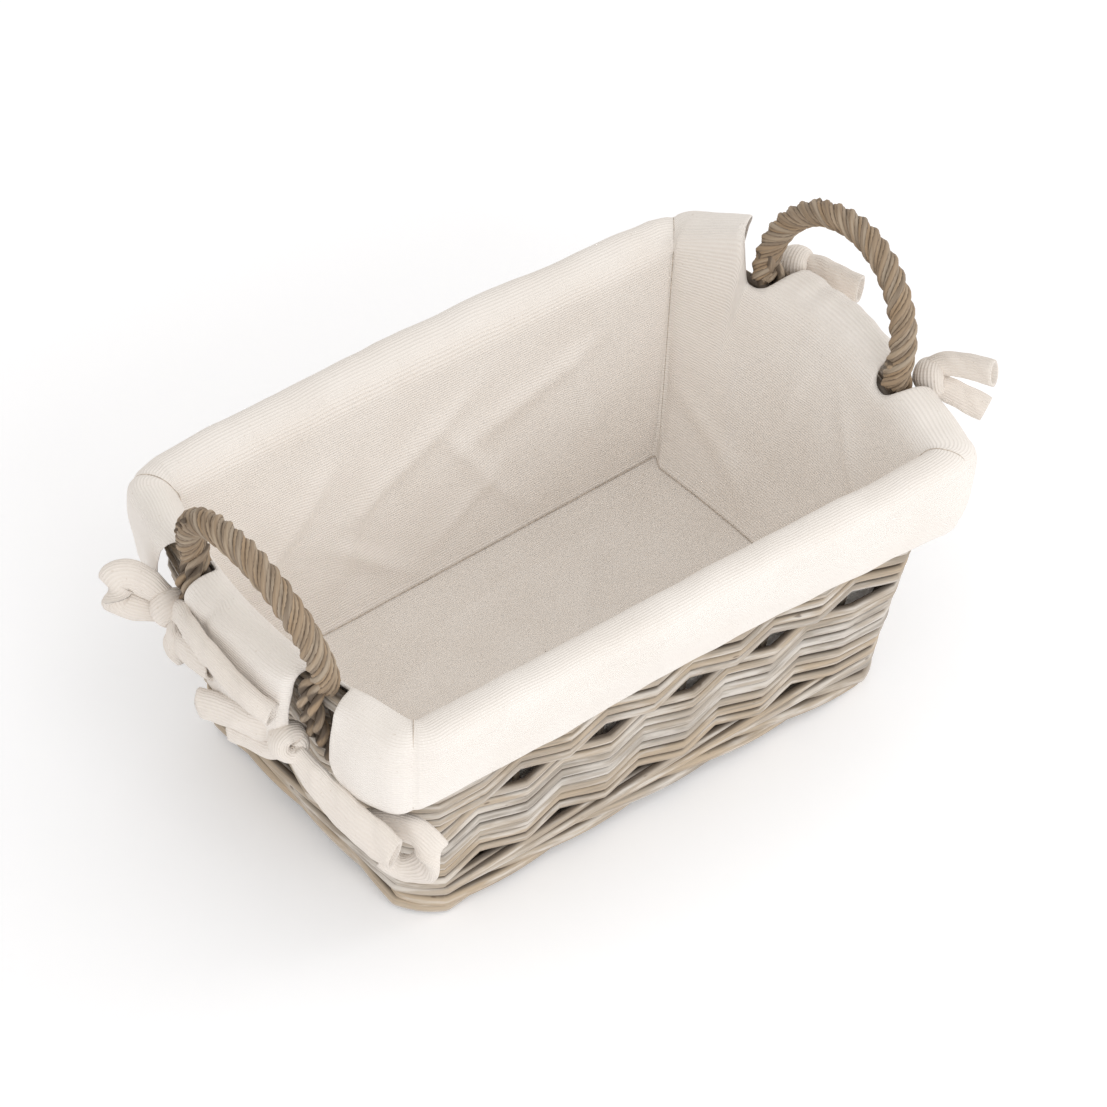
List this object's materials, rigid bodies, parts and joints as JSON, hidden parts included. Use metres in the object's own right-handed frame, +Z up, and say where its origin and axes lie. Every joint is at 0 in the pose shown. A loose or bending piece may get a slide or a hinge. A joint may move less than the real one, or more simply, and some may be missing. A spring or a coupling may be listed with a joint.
{
  "type": "lined woven basket",
  "caption": "Rectangular woven willow basket with flaring walls, a rope-twisted handle at each end and a tied cotton liner folded over the rim.",
  "frame": {"origin": "centre of the footprint on the surface the basket stands on", "axes": "+X along the length towards the right handle, +Y from the front to the back, +Z up"},
  "size_m": [0.4303, 0.236, 0.221],
  "materials": {
    "wall_willow": "grey-washed buff willow, matt, with pale streaks",
    "frame_willow": "grey-washed willow rods, matt",
    "handle_willow": "twisted buff willow, slightly silky",
    "liner_cotton": "natural unbleached cotton canvas, fine weave",
    "tape_cotton": "folded and stitched cotton tape"
  },
  "bodies": {
    "basket": {"base_sticks": "wall_willow", "base_weave": "wall_willow", "border_back": "wall_willow", "border_corners": "wall_willow", "border_front": "wall_willow", "border_left": "wall_willow", "border_right": "wall_willow", "foot_back": "wall_willow", "foot_corners": "wall_willow", "foot_front": "wall_willow", "foot_left": "wall_willow", "foot_right": "wall_willow", "handle_core_left": "handle_willow", "handle_core_right": "handle_willow", "handle_rope_left": "handle_willow", "handle_rope_right": "handle_willow", "handle_strands_left": "handle_willow", "handle_strands_right": "handle_willow", "stakes_back": "frame_willow", "stakes_corners": "frame_willow", "stakes_front": "frame_willow", "stakes_left": "frame_willow", "stakes_right": "frame_willow", "weave_back": "wall_willow", "weave_corners": "wall_willow", "weave_front": "wall_willow", "weave_left": "wall_willow", "weave_right": "wall_willow"},
    "liner": {"corner_cuff_back_left": "liner_cotton", "corner_cuff_back_right": "liner_cotton", "corner_cuff_front_left": "liner_cotton", "corner_cuff_front_right": "liner_cotton", "cuff_back": "liner_cotton", "cuff_front": "liner_cotton", "end_flap_left": "liner_cotton", "end_flap_right": "liner_cotton", "knot_back_left": "tape_cotton", "knot_back_right": "tape_cotton", "knot_front_left": "tape_cotton", "knot_front_right": "tape_cotton", "liner_floor": "liner_cotton", "liner_fold_back": "liner_cotton", "liner_fold_front": "liner_cotton", "liner_wall_back": "liner_cotton", "liner_wall_front": "liner_cotton", "liner_wall_left": "liner_cotton", "liner_wall_right": "liner_cotton", "tie_tails_back_left": "tape_cotton", "tie_tails_back_right": "tape_cotton", "tie_tails_front_left": "tape_cotton", "tie_tails_front_right": "tape_cotton"}
  },
  "joints": [
    {"name": "liner_lift", "type": "slide", "parent": "basket", "child": "liner", "axis": [0, 0, 1], "range_m": [0, 0.25], "deforming": ["end_flap_left", "end_flap_right", "knot_back_left", "knot_back_right", "knot_front_left", "knot_front_right", "tie_tails_back_left", "tie_tails_back_right", "tie_tails_front_left", "tie_tails_front_right"]}
  ]
}
